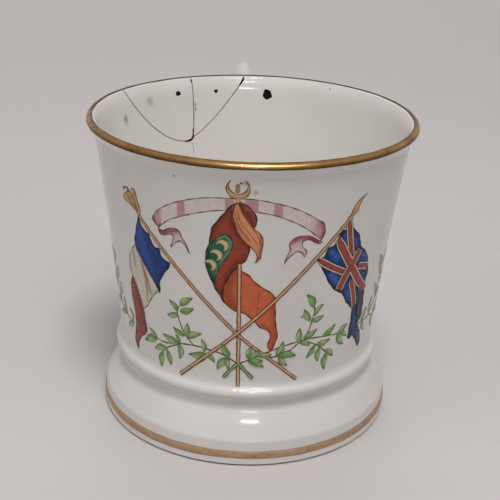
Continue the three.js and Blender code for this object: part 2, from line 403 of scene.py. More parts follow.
class Surface(Nodes):
    """A Principled material with helpers for what varies over it."""

    def __init__(self, name):
        self.material = bpy.data.materials.new(name)
        self.material.use_nodes = True
        super().__init__(self.material.node_tree)
        self.shader = self.tree.nodes["Principled BSDF"]
        self.place = self.add("TexCoord", {}, "Object")

    def set(self, name, value):
        self.feed(self.shader.inputs[name], value)

    def noise(self, scale, detail=3.0, rough=0.5, stretch=None):
        place = self.add("Mapping", {"Vector": self.place, "Scale": stretch}) if stretch else self.place
        grain = {"Scale": scale, "Detail": detail, "Roughness": rough}
        return self.add("TexNoise", {"Vector": place, **grain}, "Fac")

    def mix(self, share, first, second, blend="MIX"):
        return self.add("Mix", {0: share, 6: first, 7: second}, 2, data_type="RGBA", blend_type=blend)

    def bump(self, height, strength, depth):
        self.set("Normal", self.add("Bump", {"Height": height, "Strength": strength, "Distance": depth}))


def glaze_material(name, light, shade):
    """White glaze with faint clouding, a few kiln specks and a slightly wavy skin."""
    surface = Surface(name)
    cloud = surface.between(surface.noise(38, 4.0), 0.35, 0.7)
    white = surface.mix(cloud, linear(light), linear(shade))
    cells = surface.add("TexVoronoi", {"Vector": surface.place, "Scale": 170}).node.outputs
    near = surface.between(cells["Distance"], 0.05, 0.025)
    chosen = surface.between(cells["Color"], 0.93, 0.95)
    speck = surface.math("MULTIPLY", near, chosen)
    surface.set("Base Color", surface.mix(speck, white, linear("#8d8178")))
    surface.set("Roughness", surface.between(surface.noise(120, 2.0), 0.3, 0.7, 0.06, 0.1))
    surface.bump(surface.noise(75, 2.0), 0.12, 0.0006)
    return surface.material


def gilding_material(name, tones, wear, metal, rough):
    """Fired gold: streaks along the brush, rubbed thin in patches and darkened along its marked edges.
    Its tones are bright, dark, worn and the one laid along the marked edges."""
    bright, dark, worn, edge = map(linear, tones)
    surface = Surface(name)
    streak = surface.noise(210, 5.0, 0.6, (1.0, 1.0, 3.0))
    gold = surface.mix(surface.between(streak, 0.35, 0.66), bright, dark)
    rubbed = surface.between(surface.noise(1500, 4.0, 0.7), wear, wear + 0.16)
    gold = surface.mix(rubbed, gold, worn)
    marked = surface.add("Attribute", {}, "Fac", attribute_name="edge")
    surface.set("Base Color", surface.mix(marked, gold, edge))
    surface.set("Metallic", surface.between(rubbed, 0.0, 1.0, metal, metal * 0.3))
    surface.set("Roughness", surface.between(streak, 0.3, 0.7, rough - 0.08, rough + 0.12))
    surface.bump(surface.noise(1500), 0.35, 0.00008)
    return surface.material


def enamel_material(name, gloss):
    """Painted enamel or a stain: the pigment laid on each shape, mottled by the brush."""
    surface = Surface(name)
    pigment = surface.add("Attribute", {}, "Color", attribute_name="pigment")
    mottle = surface.between(surface.noise(620, 5.0, 0.65), 0.3, 0.72)
    shade = surface.mix(mottle, np.full(3, 0.92), np.full(3, 1.04))
    surface.set("Base Color", surface.mix(1.0, pigment, shade, "MULTIPLY"))
    surface.set("Specular IOR Level", gloss)
    surface.set("Roughness", surface.between(mottle, 0.0, 1.0, 0.2, 0.32))
    surface.bump(surface.noise(1500), 0.3, 0.00004)
    return surface.material


def stained_material(name, first, second, scale, rough):
    """Dried cement or bare biscuit: two tones broken up by noise, with a grainy skin."""
    surface = Surface(name)
    grain = surface.noise(scale, 5.0, 0.65)
    share = surface.between(grain, 0.35, 0.65)
    surface.set("Base Color", surface.mix(share, linear(first), linear(second)))
    surface.set("Roughness", surface.between(grain, 0.3, 0.7, rough - 0.1, rough + 0.1))
    surface.bump(grain, 0.3, 0.00005)
    return surface.material


def floor_material():
    """A pale matt floor that takes the mug's shadow, and far off turns into the pale surroundings."""
    surface = Surface("studio_floor")
    surface.set("Specular IOR Level", 0.2)
    cloud = surface.between(surface.noise(3.0), 0.3, 0.7)
    surface.set("Base Color", surface.mix(cloud, linear("#cfcac8"), linear("#ccc7c4")))
    surface.set("Roughness", surface.between(surface.noise(40), 0.3, 0.7, 0.5, 0.62))
    distance = surface.add("VectorMath", {0: surface.place}, "Value", operation="LENGTH")
    far = surface.between(distance, *FLOOR_FADE)
    faded = surface.math("MULTIPLY", far, surface.rays_that_show_surroundings())
    glow = surface.add("Emission", {"Color": SURROUNDINGS, "Strength": SURROUNDINGS_STRENGTH})
    blend = surface.add("MixShader", {0: faded, 1: surface.shader.outputs[0], 2: glow})
    surface.feed(surface.tree.nodes["Material Output"].inputs["Surface"], blend)
    return surface.material


GLAZE = glaze_material("glaze", "#dedad7", "#d9d4d1")
# A lighter copy of the glaze for the inside of the cup: painted light
LIT_INNER_GLAZE = glaze_material("inner_glaze_painted_light", "#e6e2dd", "#e1dcd8")
# A darker copy of the glaze for the handle: painted shade
SHADED_HANDLE_GLAZE = glaze_material("handle_glaze_painted_shade", "#d3cfcc", "#cdc9c5")
RIM_GOLD = gilding_material("rim_gold", ("#c69c66", "#9a7242", "#7a5a3c", "#1e1107"), 0.62, 1.0, 0.3)
BAND_GOLD = gilding_material("band_gold", ("#c8a174", "#94704a", "#cbb49c", "#ad9278"), 0.5, 0.5, 0.48)
ENAMEL = enamel_material("enamel", 0.25)
STAIN = enamel_material("stain", 0.04)
# The bare foot ring: partly the real unglazed ring, partly painted shade, darker than biscuit alone, along
# the contact line
BISCUIT_AND_CONTACT_SHADE = stained_material("biscuit", "#857b72", "#645b53", 500, 0.6)
CEMENT = stained_material("cement", "#6d5548", "#8d7868", 400, 0.5)


def finish_piece(obj, slot, *nodes):
    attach(obj, "root")
    if nodes:
        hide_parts(*nodes)


# Cup, cut into its body and the two shards by the cracks

KERF_NEAR, KERF_FAR = 25, 55
break_bottom = OVERALL_HEIGHT - BREAK_DEPTH
break_top = OVERALL_HEIGHT + LIP_NOSE
meeting = point(-BREAK_LEAN, break_bottom)
crack_lines = {
    "left": cubic(meeting, point(-BREAK_LEFT * 0.15, break_bottom - BREAK_SAG),
                  point(-BREAK_LEFT * 0.55, break_bottom + BREAK_DEPTH * 0.04),
                  point(-BREAK_LEFT, break_top), 24),
    "right": bend(meeting, point(BREAK_RIGHT * 0.41, break_bottom + BREAK_DEPTH * 0.21),
                  point(BREAK_RIGHT, break_top), 16),
    "middle": bend(meeting, point(BREAK_LEAN, OVERALL_HEIGHT - BREAK_DEPTH / 2), point(0, break_top), 10),
}


def crack_slab(name, line):
    """The kerf of one crack: its line on a plane square to the break's radius, pushed through the wall."""
    across = sideways(line) * CRACK_WIDTH / 2
    line = np.vstack((line[:1] - headings(line)[:1] * CRACK_WIDTH, line[1:]))
    turn = Matrix.Rotation(math.radians(BREAK_TURN), 4, "Z")
    vertices = []
    for (u, z), (du, dz) in zip(line, across):
        for side, depth in ((1, KERF_NEAR), (-1, KERF_NEAR), (-1, KERF_FAR), (1, KERF_FAR)):
            place = turn @ Vector((u + side * du, depth, z + side * dz))
            vertices.append(AXIS + np.array(place) * MM)
    return add_object(name, vertices, ring_faces(len(line), 4), CEMENT)


cup = turned("cup", np.vstack((underside, outside, inside)), GLAZE)
kerfs = []
for side, line in crack_lines.items():
    kerf = crack_slab("kerf_" + side, line)
    cement = copied(kerf, "cement_" + side)
    combined(cement, cup, "INTERSECT")
    cement.data.materials.clear()
    cement.data.materials.append(CEMENT)
    smooth(cement, 40)
    finish_piece(cement, "porcelain")
    combined(cup, kerf, "DIFFERENCE")
    kerfs.append(kerf)


def glaze_by_place(piece):
    """Gives the faces inside the cup a lighter copy of the glaze, which is painted light, and gives the
    ring that it stands on dark bare biscuit, partly painted shade that deepens the contact line.
    """
    piece.data.materials.append(LIT_INNER_GLAZE)
    piece.data.materials.append(BISCUIT_AND_CONTACT_SHADE)
    for face in piece.data.polygons:
        x, y, height = (np.array(face.center) - AXIS) / MM
        # Faces inside the cup take the lighter copy of the glaze, which is painted light
        if height > floor_height - 0.1 and np.hypot(x, y) < inner_radius(height) + 0.1:
            face.material_index = 1
        # The ring that the cup stands on: bare biscuit, darkened as painted shade along the contact line
        elif height < FOOT_LIFT + FOOT_RELIEF / 2 and face.normal.z < -0.2:
            face.material_index = 2


cup_names = ("porcelain_body", "porcelain_shard_left", "porcelain_shard_right")
cup_nodes = ("cup_body", "rim_shard_left", "rim_shard_right")
for piece, node in zip(loose_parts(cup, cup_names), cup_nodes):
    glaze_by_place(piece)
    finish_piece(piece, "porcelain", node)


# Gilding: a hand-drawn edge that wanders a little round the rim and the foot

RIM_STEPS = 14
GILT_SUNK = -0.08
rim_shares = np.linspace(0, 1, RIM_STEPS + 1)


def wave(turn, seed, *counts):
    """A smooth closed wobble between about -1 and 1 from a few whole numbers of waves."""
    waves = [np.sin(count * turn + seed * (place + 1) * 1.7) for place, count in enumerate(counts)]
    return sum(waves) / len(waves)


def rim_point(place, turn):
    """A point on the gilt layer's section: out over the nose, then back just under the glaze."""
    start = GILT_START + 5 * wave(turn, 0.4, 3, 7, 13, 29)
    end = GILT_END + 6 * wave(turn, 1.3, 4, 9, 17, 31)
    outer = place <= RIM_STEPS
    share = rim_shares[place if outer else 2 * RIM_STEPS + 1 - place]
    feather = min(1.0, 8 * min(share, 1 - share) + 0.25)
    reach = LIP_NOSE + (GILDING_SKIN * feather if outer else GILT_SUNK)
    return on_circle(nose, reach, lerp(start, end, share))


def mark_edges(obj, shares, low_width, high_width, high_strength):
    """Marks how near each point is to the two edges of a gilt layer, from its share of the way across."""
    low = np.clip(1 - shares / low_width, 0, 1)
    high = np.clip(1 - (1 - shares) / high_width, 0, 1) * high_strength
    near = np.maximum(low, high) ** 0.6
    obj.data.attributes.new("edge", "FLOAT", "POINT").data.foreach_set("value", near)


def places_of(obj):
    """An object's points in millimetres about the axis: radius and height."""
    places = (np.array([v.co for v in obj.data.vertices]) - AXIS) / MM
    return np.hypot(places[:, 0], places[:, 1]), places[:, 2]


rim_profile = [rim_point(place, 0.0) for place in range(2 * RIM_STEPS + 2)]
rim = turned("rim", rim_profile, RIM_GOLD, closed=True, wander=rim_point)
for kerf in kerfs:
    combined(rim, kerf, "DIFFERENCE")
    bpy.data.objects.remove(kerf)
rim_names = ("gilt_lip", "gilt_lip_left", "gilt_lip_right")
rim_nodes = ("rim_gilding", "rim_gilding_left", "rim_gilding_right")
for part, node in zip(loose_parts(rim, rim_names), rim_nodes):
    radii, heights = places_of(part)
    angles = np.degrees(np.arctan2(heights - nose[1], radii - nose[0]))
    mark_edges(part, (angles - GILT_START) / (GILT_END - GILT_START), 0.38, 0.34, 0.5)
    finish_piece(part, "gilding", node)

BAND_SECTION = ((GILT_SUNK, 0), (0.06, 0), (0.2, 0.15), (0.2, 0.85), (0.06, 1), (GILT_SUNK, 1))


def band_point(place, turn):
    """A point on the foot band's section, thin at both edges."""
    low = FOOT_BAND_BOTTOM + 0.12 * wave(turn, 0.9, 5, 11, 19, 37)
    high = FOOT_BAND_BOTTOM + FOOT_BAND_HEIGHT + 0.12 * wave(turn, 2.1, 4, 13, 23, 41)
    lift, share = BAND_SECTION[place]
    height = lerp(low, high, share)
    return outer_radius(height) + lift, height


band_profile = [band_point(place, 0.0) for place in range(len(BAND_SECTION))]
band = turned("gilt_foot_band", band_profile, BAND_GOLD, closed=True, wander=band_point)
mark_edges(band, (places_of(band)[1] - FOOT_BAND_BOTTOM) / FOOT_BAND_HEIGHT, 0.2, 0.2, 1.0)
finish_piece(band, "gilding", "foot_gilding")


# Handle: an ear-shaped loop in the plane through the axis, with a ridged back

# Shares of the handle's length, powers of its section, and millimetres
FLARE_FADE = 0.07
RIDGE_BACK, ROUND_FRONT = 2.4, 0.9
ROOT_DEPTH = 1.0
LUTING_TUCK = 0.15
LUTING_BACK = 0.6
LUTING_SUNK = 0.5

upper_height = OVERALL_HEIGHT - UPPER_JOINT_DROP
upper_joint = point(outer_radius(upper_height), upper_height)
lower_joint = point(outer_radius(LOWER_JOINT_HEIGHT), LOWER_JOINT_HEIGHT)
back_radius = HANDLE_REACH - HANDLE_THICKNESS / 2
belly = point(back_radius, upper_height - HANDLE_BELLY_DROP)
rising = cubic(upper_joint,
               point(lerp(upper_joint[0], back_radius, 0.38), upper_height + HANDLE_RISE * 0.25),
               point(back_radius, upper_height + HANDLE_RISE), belly, 200)
falling = cubic(belly, point(back_radius, lerp(belly[1], LOWER_JOINT_HEIGHT, 0.5)),
                point(lerp(lower_joint[0], back_radius, 0.55), LOWER_JOINT_HEIGHT + HANDLE_THICKNESS * 0.6),
                lower_joint, 200)
root_length = HANDLE_THICKNESS * 0.6
upper_root = upper_joint - unit(rising[1] - rising[0]) * root_length
lower_root = lower_joint + unit(falling[-1] - falling[-2]) * root_length
loop = without_repeats(np.vstack(([upper_root], rising, falling, [lower_root])))
loop_lengths = lengths_along(loop)


def handle_ring(share):
    """The handle's section at a share of its length, in millimetres about the axis."""
    lengths = np.array((share - 1e-3, share, share + 1e-3)) * loop_lengths[-1]
    before, centre, after = np.column_stack([np.interp(lengths, loop_lengths, axis) for axis in loop.T])
    along = unit(after - before)
    ends = math.exp(-share / FLARE_FADE) + math.exp(-(1 - share) / FLARE_FADE)
    slimming = lerp(1, HANDLE_TAPER, share)
    angles = np.linspace(0, 2 * np.pi, SECTION_STEPS, endpoint=False)
    sines = np.sin(angles)
    rise = np.sign(sines) * np.abs(sines) ** np.where(sines > 0, RIDGE_BACK, ROUND_FRONT)
    side = np.cos(angles) * (HANDLE_WIDTH / 2 * slimming + HANDLE_FLARE * ends)
    rise = rise * (HANDLE_THICKNESS / 2 * slimming + HANDLE_FLARE * ends)
    return np.column_stack((side, centre[0] - along[1] * rise, centre[1] + along[0] * rise))


def kept_in_wall(points, depth):
    """Points that reach too far into the wall, drawn back to a depth below its outside."""
    radii = np.hypot(points[:, 0], points[:, 1])
    grown = np.maximum(radii, outer_radius(points[:, 2]) - depth) / radii
    return points * np.column_stack((grown, grown, np.ones(len(points))))


handle_rings = np.array([handle_ring(share) for share in np.linspace(0, 1, HANDLE_STEPS + 1)])
handle_points = np.vstack([kept_in_wall(ring, ROOT_DEPTH) for ring in handle_rings])
# The handle takes the darker copy of the glaze, which is painted shade
handle = add_object("porcelain_handle", AXIS + handle_points * MM,
                    ring_faces(len(handle_rings), SECTION_STEPS), SHADED_HANDLE_GLAZE, 60)
finish_piece(handle, "porcelain", "handle")


def place_at(height, heights, points):
    """Where a line of points passes a height, from the rising heights of its first ones."""
    return np.array([np.interp(height, heights, axis) for axis in points[:len(heights)].T])


def luting(name, rings):
    """A hollow fillet of slip in the corner between the wall and the handle, whose rings rise from it."""
    sections = []
    for line in range(SECTION_STEPS):
        path = rings[:, line]
        heights = np.hypot(path[:, 0], path[:, 1]) - outer_radius(path[:, 2])
        first = np.argmax(heights > LUTING_HEIGHT) + 1
        rising_part = np.maximum.accumulate(heights[:first])
        foot = place_at(0.0, rising_part, path)
        top = place_at(LUTING_HEIGHT, rising_part, path)
        away = unit(foot - place_at(0.0, rising_part, rings.mean(axis=1)))
        spread = foot + away * LUTING_WIDTH
        spread[:2] *= outer_radius(spread[2]) / np.hypot(spread[0], spread[1])
        sunk = foot - away * LUTING_BACK
        sunk[:2] *= (outer_radius(sunk[2]) - LUTING_SUNK) / np.hypot(sunk[0], sunk[1])
        sections.append(np.vstack((top - away * LUTING_TUCK, bend(top, foot, spread, 8), sunk)))
    faces = ring_faces(SECTION_STEPS, len(sections[0]), joined=True)
    return add_object(name, AXIS + np.vstack(sections) * MM, faces, GLAZE, 80)


finish_piece(luting("slip_upper", handle_rings), "porcelain", "luting_upper")
finish_piece(luting("slip_lower", handle_rings[::-1]), "porcelain", "luting_lower")

# Painting on the wall, in millimetres: s runs round the wall to the right from the point opposite the
# handle, measured at the mean radius, and z runs up

MEAN_RADIUS = 40.5
LAYER_BASE = 0.03
LAYER_STEP = 0.014
SUNK = -0.06


def on_wall(flat, lift, inner=False):
    """Points (s, z) as places in metres on the outside of the wall, or on its inside, raised by lift."""
    turn = flat[:, 0] / MEAN_RADIUS
    radius = inner_radius(flat[:, 1]) - lift if inner else outer_radius(flat[:, 1]) + lift
    return AXIS + np.column_stack((radius * np.sin(turn), -radius * np.cos(turn), flat[:, 1])) * MM


def track(text):
    """Points written as "s,z s,z"."""
    return np.array([pair.split(",") for pair in text.split()], float)


def curve(text, step=0.4):
    """A smooth line through points written as "s,z s,z", with a corner at each bar between them."""
    parts, last = [], np.empty((0, 2))
    for run in text.split("|"):
        p = np.vstack((last, track(run)))
        last = p[-1:]
        p = np.vstack((2 * p[0] - p[1], p, 2 * p[-1] - p[-2]))
        for a, b, c, d in zip(p, p[1:], p[2:], p[3:]):
            t = np.linspace(0, 1, max(2, int(np.linalg.norm(c - b) / step)), endpoint=False)[:, None]
            parts.append((2 * b + (c - a) * t + (2 * a - 5 * b + 4 * c - d) * t ** 2
                          + (3 * b - a - 3 * c + d) * t ** 3) / 2)
        parts.append(last)
    return without_repeats(np.vstack(parts))


def closed(outline):
    """The outline with its first point repeated at its end, and no more than once."""
    return without_repeats(np.vstack((outline, outline[:1])))


def blot(place, radius, seed, stretch=1.0):
    """The outline of an irregular round spot."""
    turns = np.linspace(0, 2 * np.pi, 28, endpoint=False)
    reach = radius * (1 + 0.2 * wave(turns, seed, 2, 3, 5))
    return np.array(place) + np.column_stack((np.cos(turns) * reach, np.sin(turns) * reach * stretch))


def distances(points, line):
    """The least distance from each point to a line."""
    start, step = line[:-1], np.diff(line, axis=0)
    gap = points[:, None] - start
    share = np.clip((gap * step).sum(2) / (step ** 2).sum(1), 0, 1)
    return np.linalg.norm(gap - share[..., None] * step, axis=2).min(1)


def within(points, outline):
    """Which points lie inside a closed outline."""
    x, y = points[:, :1], points[:, 1:]
    x0, y0 = outline.T
    x1, y1 = np.roll(outline, -1, axis=0).T
    crosses = (y0 > y) != (y1 > y)
    with np.errstate(divide="ignore", invalid="ignore"):
        at = x0 + (y - y0) * (x1 - x0) / (y1 - y0)
    return (crosses & (x < at)).sum(1) % 2 == 1


def soft_step(low, high, value):
    share = np.clip((value - low) / (high - low), 0, 1)
    return (share * share * (3 - 2 * share))[:, None]


def brushed(base, *touches):
    """A paint of one tone or of another paint, with soft touches: line, half width, tone, strength."""
    lines = [track(line) if isinstance(line, str) else np.array(line, float) for line, *_ in touches]

    def paint(points):
        tones = base(points) if callable(base) else np.tile(base, (len(points), 1))
        for line, (_, width, tone, strength) in zip(lines, touches):
            share = strength * np.exp(-(distances(points, line) / width) ** 2)
            tones = lerp(tones, tone, share[:, None])
        return tones
    return paint


class Enamel:
    """Thin painted shapes on the wall, gathered into one mesh of closed shells.
    stroke and outlined take their line as points, or as text for curve."""

    def __init__(self, inner=False):
        self.vertices, self.faces, self.tones = [], [], []
        self.inner = inner

    def add_shell(self, flat, triangles, rim, tones, layer):
        """One shape: its painted face, the same face sunk under the glaze, and the edge between them."""
        start, count = sum(map(len, self.vertices)), len(flat)
        lift = LAYER_BASE + LAYER_STEP * layer
        self.vertices += [on_wall(flat, lift, self.inner), on_wall(flat, SUNK, self.inner)]
        self.tones += [tones, tones]
        for a, b, c in triangles:
            self.faces.append((start + a, start + b, start + c))
            self.faces.append((start + count + c, start + count + b, start + count + a))
        for a, b in rim:
            self.faces.append((start + b, start + a, start + count + a, start + count + b))

    def fill(self, outline, paint, layer=0, grid=0.34):
        """A shape inside an outline, with points inside it so that the paint can vary."""
        border = closed(outline)
        outline = border[:-1]
        low, high = outline.min(0), outline.max(0)
        rows = np.arange(low[1], high[1], grid * 0.87)
        columns = np.arange(low[0], high[0], grid)
        inner = np.array([(x + grid / 2 * (k % 2), y) for k, y in enumerate(rows) for x in columns])
        inner = inner[within(inner, outline)]
        inner = inner[distances(inner, border) > grid * 0.4] if len(inner) else inner.reshape(0, 2)
        points = [Vector(p) for p in np.vstack((outline, inner))]
        made = delaunay_2d_cdt(points, [], [list(range(len(outline)))], 1, 1e-5)
        flat, triangles = np.array([tuple(v) for v in made[0]]), made[2]
        edges = {(a, b) for face in triangles for a, b in zip(face, face[1:] + face[:1])}
        rim = [(a, b) for a, b in edges if (b, a) not in edges]
        self.add_shell(flat, triangles, sorted(rim), brushed(paint)(flat), layer)

    def stroke(self, line, width, tone, layer=1, taper=(1.0, 1.0), swell=0.0):
        """A brush line, narrowed at its start and end to the taper's shares, that may swell on its way."""
        line = curve(line) if isinstance(line, str) else line
        lengths = lengths_along(line)
        share = lengths / lengths[-1]
        narrowing = np.minimum(1, np.minimum(taper[0] + share * 4, taper[1] + (1 - share) * 4))
        pressing = 1 + swell * np.sin(lengths * 1.7 + line[0, 0] * 3)
        half = sideways(line) * (np.maximum(narrowing, 0.12) * pressing * width / 2)[:, None]
        flat = np.vstack((line - half, line + half))
        count = len(line)
        triangles, rim = [], [(count, 0), (count - 1, 2 * count - 1)]
        for k in range(count - 1):
            triangles += [(k, k + 1, count + k), (k + 1, count + k + 1, count + k)]
            rim += [(k, k + 1), (count + k + 1, count + k)]
        self.add_shell(flat, triangles, rim, np.tile(tone, (len(flat), 1)), layer)

    def outlined(self, outline, paint, tone, layer=0, grid=0.34, width=0.26):
        """A filled shape, a little darker towards its edge, with a hand-drawn line round it."""
        border = closed(curve(outline) if isinstance(outline, str) else outline)
        self.fill(border, brushed(paint, (border, 0.32, tone, 0.4)), layer, grid)
        self.stroke(border, width, tone, layer + 0.5, swell=0.45)

    def make(self, name, material=ENAMEL):
        made = add_object(name, np.vstack(self.vertices), self.faces, material, 60)
        pigment = made.data.attributes.new("pigment", "FLOAT_COLOR", "POINT")
        tones = np.vstack(self.tones)
        pigment.data.foreach_set("color", np.column_stack((tones, np.ones(len(tones)))).ravel())
        finish_piece(made, "porcelain")


# Pigments
BARE = linear("#d0cac6")
# The bare glaze tone inside the cup, lighter like the inner glaze's copy: painted light
LIT_BARE_INSIDE = linear("#d8d2cd")
INK = linear("#3a1c14")
BLACK = linear("#14100e")
BLUE = linear("#173a80")
SKY = linear("#3564b8")
NAVY = linear("#0a1230")
SLATE = linear("#342e46")
LINEN = linear("#d2c9be")
FAWN = linear("#a5866c")
ASH = linear("#a09a90")
RED = linear("#9c4436")
OXBLOOD = linear("#64211a")
BRICK = linear("#98422d")
MAROON = linear("#5c1e14")
ORANGE = linear("#cd6742")
RUST = linear("#944328")
PEACH = linear("#de936a")
TAN = linear("#8c5536")
GREEN = linear("#256243")
PINE = linear("#113628")
SAGE = linear("#7d9a84")
CREAM = linear("#d6c18e")
LEAF = linear("#adba8a")
GRASS = linear("#8cab68")
MOSS = linear("#5f8a48")
LEAF_INK = linear("#3c4c2c")
STEM = linear("#7a5a46")
STAFF = linear("#c69e78")
STRAW = linear("#d8b48c")
UMBER = linear("#704528")
IVORY = linear("#d9cbc5")
TAUPE = linear("#6e5650")
PINK = linear("#c08c93")
CRIMSON = linear("#9c4058")
WINE = linear("#5e2034")
GILT = linear("#d1a97e")
BRONZE = linear("#7a5a36")


# Leaf sprays

def leaf(work, base, tip, layer, bow, tone):
    """A pointed leaf from its base to its tip: one half in shade, a dark tip and a thin outline."""
    axis = tip - base
    side = point(-axis[1], axis[0])
    t = np.linspace(0, 1, 15)[:, None]
    vein = base + axis * t + side * bow * np.sin(np.pi * t)
    half = side * 0.19 * np.sin(np.pi * t ** 0.8)
    outline = np.vstack((vein + half, (vein - half)[-2:0:-1]))
    size = np.linalg.norm(axis)
    touches = ((vein - half * 0.7, size * 0.11, MOSS, 0.85), (vein[:4], size * 0.14, MOSS, 0.6),
               (vein[-2:], size * 0.1, LEAF_INK, 0.9))
    work.fill(outline, brushed(tone, *touches), layer, 0.32)
    work.stroke(closed(outline), 0.15, lerp(LEAF_INK, tone, 0.2), layer + 0.5, swell=0.5)


sprays = Enamel()
STEMS = (
    "-4.6,29 -9.5,31.7 -16,32.8 -21,32.5 -27,31.2 -31,31.6",
    "-22.5,31.9 -26.5,29.8 -29,27.2",
    "-17.5,32.8 -20.5,36.3 -22.3,41.5 -21.6,44.2",
    "-4.3,29 -1.5,30.2 3,32.3 8.5,34.3 15,35.4 20,35.2 27,34.5",
    "3.5,31.6 5,31 7,31.3",
    "9.5,32.4 10.8,33 12.6,34.6",
    "14.5,35 18,33.3 20.5,31.5 22.5,29.5",
    "14.5,36 15.5,38 16.2,41 16.7,44 16.2,46",
    "-41.5,32.4 -46,32.8 -50,35.5 -52.5,40.5 -54,46.5",
    "34.5,34.6 38.5,34.4 42,35 45.5,38.5",
    "42,35 46.5,33 50,34",
    "45.5,38.5 47.5,43.5 46.5,49.5",
)
for stem in STEMS:
    sprays.stroke(stem, 0.4, STEM, 1, (0.9, 0.5), 0.2)
for end in ("-4.5,29.2 -6.3,27.2 -8.7,24.3", "-4.3,29 -2.5,26.9 -0.2,24.4"):
    for rise, (width, tone) in enumerate(((0.95, LEAF_INK), (0.6, MOSS), (0.25, LEAF))):
        sprays.stroke(end, width, tone, 13 + rise, (0.7, 1.0), 0.15)
LEAVES = (
    "-30.3,31.8 -33.3,34", "-30.3,31.3 -36,28.8", "-22.2,32.3 -27.8,33.7",
    "-22,32.5 -23.3,34.8", "-22.2,32.3 -22.2,27.3", "-26.7,29.5 -31.7,27.8",
    "-26.8,29 -25.6,24.3", "-28.3,27.8 -29.1,22.6", "-20.3,35.2 -24,37.1",
    "-20,35.2 -19.3,39.5", "-19.5,35 -15,37", "-22.2,42.3 -24.8,45.2",
    "-21.3,44.2 -17.3,47.3", "-21.5,42.5 -17.1,44.3", "-22,41.5 -25.8,40.3",
    "-14.3,31.5 -15.1,35.3", "-14,31 -19.3,29.8", "-13.5,30.5 -16.3,27.5",
    "-6.9,31 -9.2,35", "-7.5,30.5 -10.6,26.7",
    "-1.8,31 -0.6,34.6", "-1.8,30.8 1.6,33.4", "-1.6,30 2.9,28", "-1.4,30.6 2.6,30",
    "1.4,31.2 5,31.9", "-7.4,30.7 -7.2,27", "-13.6,31.2 -11.2,28.6",
    "6.3,31.5 8.1,35.7", "7,31.3 12.2,30.9", "7,31 9.8,28",
    "13,34.5 12.7,39.4", "14,36 18.2,38.2", "13,34.8 16.3,33.2",
    "20.5,35.2 24.7,38", "26,34.5 30,36.5", "26,34.5 29.2,30.3",
    "27,34.5 30.2,32.5", "18.5,33 23.3,33.7", "18.2,33 15.6,29.3",
    "19.8,32 19.8,27.2", "21.8,30.5 25.3,27.6", "22.5,29.5 22.4,24",
    "15.7,41 13.4,45", "16.4,45 13.7,49.4", "16.6,42.5 19.3,45.5", "16,40.8 20,42",
    "-41.5,32.5 -45.8,29.8", "-41.5,33 -43.4,36", "-46,33 -47.2,38.2",
    "-47,33 -51.8,31.2", "-50,35.8 -55,35.3", "-50.8,37 -49,42",
    "-52.2,40 -57,42.2", "-52.8,42 -50,46.5", "-53.8,46 -56.5,50.3", "-54,46.5 -52,50.8",
    "37.6,34.4 39.4,38.5", "38,34.4 40,30.8", "42.2,35.2 42.4,40.6", "46,33.2 47.5,29",
    "46.5,33.2 50.8,36.8", "49.6,34 54,32.6", "45.8,39 50.2,40.4", "46,40 43.2,44.2",
    "47.4,43.4 51.4,46.2", "47.2,46 44,49.4", "46.6,49.2 43,53.4", "46.8,49 49.4,53.2",
)
SIDE_SPRAY = 37
OVER_STAFFS = 13
for place, (base, tip) in enumerate(map(track, LEAVES)):
    bow = (0.09, -0.07, 0.05, -0.1)[place % 4]
    tone = lerp(LEAF, GRASS, (0.0, 0.5, 0.2, 0.9, 0.1)[place % 5])
    if abs(base[0]) > SIDE_SPRAY:
        tone = lerp(tone, BARE, 0.35)
    over = OVER_STAFFS if abs(base[0]) < 8 else 2
    leaf(sprays, base, tip, over + place % 3, bow, tone)
sprays.make("enamel_sprays")

# Ribbon with shaded stripes and forked tails

ribbon = Enamel()
ribbon_top = curve(
    "-27.6,69.4 -25.5,71.5 -22,73.8 -18.5,75.4 -14,76.8 -9.5,77.4 -5,77.6 -1,77.4 3,76.6 7,75.3 11,73.3 "
    "14.6,70.9")
ribbon_bottom = curve(
    "-26.2,66.2 -23,69 -19,71 -15,72.6 -10,73.9 -5,74.3 0,73.9 4,72.9 8,71.1 11.5,69 15.6,65.4")
STRIPES = ((-20.3, -18.3), (-8.2, -6.3), (-3.6, -0.6), (3.2, 5.3))


def ribbon_paint(points):
    s = points[:, 0]
    tones = np.tile(IVORY, (len(points), 1))
    for start, end in STRIPES:
        share = soft_step(start - 0.3, start + 0.3, s) * soft_step(end + 0.3, end - 0.3, s) * 0.8
        tones = lerp(tones, PINK, share)
    for start, end, depth in ((-24.2, -27.3, 0.85), (11.6, 15.6, 0.6)):
        share = soft_step(start, end, s) * depth
        tones = lerp(tones, CRIMSON, share)
    return tones


ribbon.fill(np.vstack((ribbon_top, ribbon_bottom[::-1])), ribbon_paint)
for line in (ribbon_top, ribbon_bottom):
    ribbon.stroke(line, 0.24, TAUPE, 1, (0.8, 0.8), 0.35)
for start, end in STRIPES:
    for s in np.arange(start, end, 0.42):
        low = np.interp(s, ribbon_bottom[:, 0], ribbon_bottom[:, 1])
        high = np.interp(s, ribbon_top[:, 0], ribbon_top[:, 1])
        hatch = np.array([(s, z) for z in np.linspace(low + 0.15, high - 0.15, 6)])
        ribbon.stroke(hatch, 0.15, lerp(PINK, CRIMSON, 0.45), 1, (0.6, 0.4))
FOLDS = (
    ("-27.6,69.4 -28.1,68.4 -27.6,67.2 -26.3,65.9 | -25.9,66.6 -25.6,67.6 | "
     "-26.2,68.8 -26.6,70.2 -27.6,69.4",
     14, "-28.1,69.2 -27.8,67.2 -26.5,66", 1.0),
    ("14.4,71 16,70 16.7,68 16.4,65.8 15.6,64.9 | 15.3,66.4 14.6,67.4 | 14,69 14.4,71",
     18, "15.8,70.4 16.8,68 16.2,65.2", 1.1),
)
for outline, edge_points, shade, width in FOLDS:
    fold = curve(outline)
    ribbon.fill(fold, brushed(lerp(IVORY, PINK, 0.7), (shade, width, CRIMSON, 0.95)), 1)
    ribbon.stroke(fold[:edge_points], 0.22, WINE, 2, (0.4, 0.6), 0.4)
